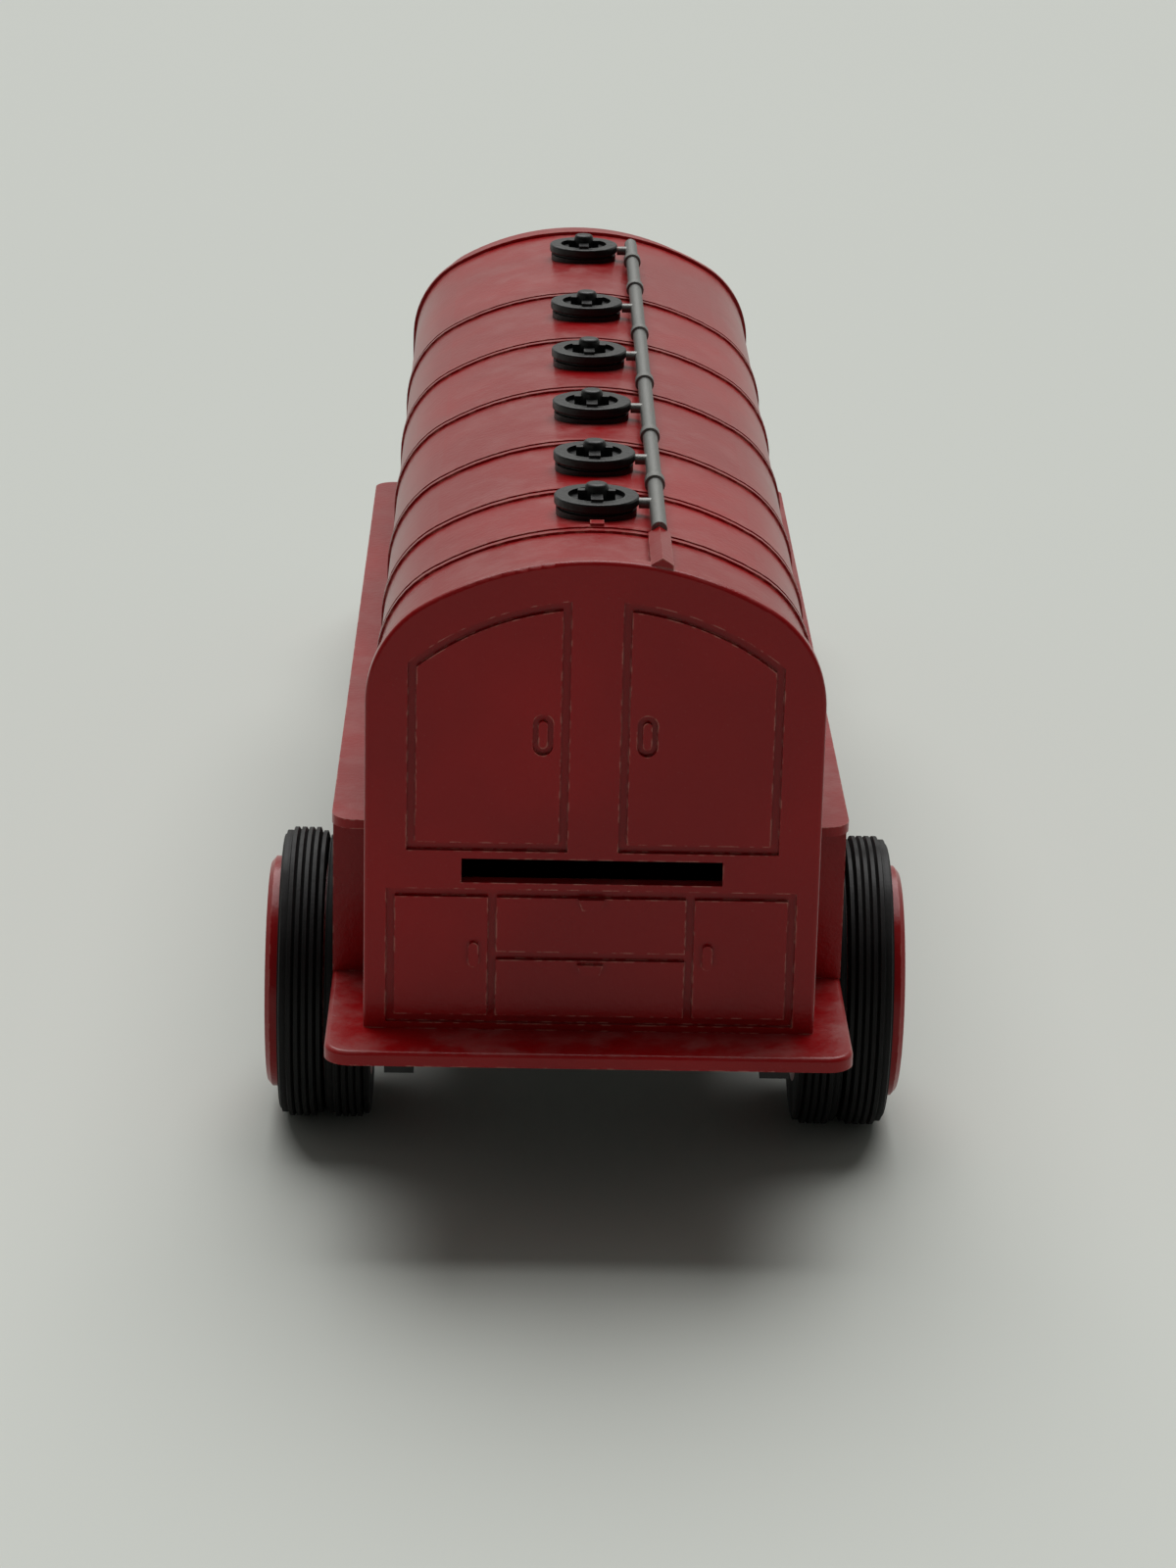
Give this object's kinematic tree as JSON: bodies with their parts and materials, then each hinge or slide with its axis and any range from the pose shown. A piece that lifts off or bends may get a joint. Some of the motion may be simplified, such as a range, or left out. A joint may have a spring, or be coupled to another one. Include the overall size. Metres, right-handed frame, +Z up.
{
  "type": "toy tanker truck",
  "caption": "Toy fuel tanker truck with a coin bank in its arched tank, turning wheels and a twist plug in the base.",
  "frame": {"origin": "on the ground, under the middle of the truck's outer box", "axes": "+Z up, +Y to the truck's front, +X to its right"},
  "size_m": [0.0672, 0.235, 0.0732],
  "materials": {
    "red_paint": "gloss red enamel",
    "black_plastic": "semi-gloss moulded",
    "silver_paint": "silver paint",
    "tyre_rubber": "matt moulded rubber",
    "bright_steel": "turned",
    "chrome_trim": "bright plated",
    "seat_plastic": "grained",
    "clear_plastic": "clear moulded"
  },
  "bodies": {
    "truck": {"base_plate": "black_plastic", "base_screws": "bright_steel", "bumper": "chrome_trim", "cab": "red_paint", "deck": "red_paint", "fill_pipe": "silver_paint", "front_bulkhead": "red_paint", "front_fender_left": "red_paint", "front_fender_right": "red_paint", "grille": "chrome_trim", "hatch_lid_1": "black_plastic", "hatch_lid_2": "black_plastic", "hatch_lid_3": "black_plastic", "hatch_lid_4": "black_plastic", "hatch_lid_5": "black_plastic", "hatch_lid_6": "black_plastic", "hatch_neck_1": "black_plastic", "hatch_neck_2": "black_plastic", "hatch_neck_3": "black_plastic", "hatch_neck_4": "black_plastic", "hatch_neck_5": "black_plastic", "hatch_neck_6": "black_plastic", "headlight_left": "chrome_trim", "headlight_lens_left": "clear_plastic", "headlight_lens_right": "clear_plastic", "headlight_right": "chrome_trim", "hood": "red_paint", "pipe_collars": "silver_paint", "pipe_spigots": "silver_paint", "radiator": "chrome_trim", "rear_cover": "red_paint", "rear_window": "clear_plastic", "seat": "seat_plastic", "side_cabinet_left": "red_paint", "side_cabinet_right": "red_paint", "steering_column": "black_plastic", "steering_wheel": "black_plastic", "tank_shell": "red_paint", "windscreen": "clear_plastic"},
    "rear_wheels": {"rear_axle": "bright_steel", "rear_tyre_inner_left": "tyre_rubber", "rear_tyre_inner_right": "tyre_rubber", "rear_tyre_outer_left": "tyre_rubber", "rear_tyre_outer_right": "tyre_rubber", "rear_wheel_left": "red_paint", "rear_wheel_right": "red_paint"},
    "front_wheels": {"front_axle": "bright_steel", "front_tyre_left": "tyre_rubber", "front_tyre_right": "tyre_rubber", "front_wheel_left": "red_paint", "front_wheel_right": "red_paint"},
    "outlet_plug": {"coin_plug": "black_plastic"}
  },
  "joints": [
    {"name": "rear_axle_turn", "type": "hinge", "parent": "truck", "child": "rear_wheels", "pos_m": [0, -0.0782, 0.0155], "axis": [1, 0, 0], "continuous": true},
    {"name": "front_axle_turn", "type": "hinge", "parent": "truck", "child": "front_wheels", "pos_m": [0, 0.0958, 0.0155], "axis": [1, 0, 0], "continuous": true},
    {"name": "plug_turn", "type": "hinge", "parent": "truck", "child": "outlet_plug", "pos_m": [0, -0.0162, 0.0193], "axis": [0, 0, 1], "range_deg": [0, 90]}
  ]
}
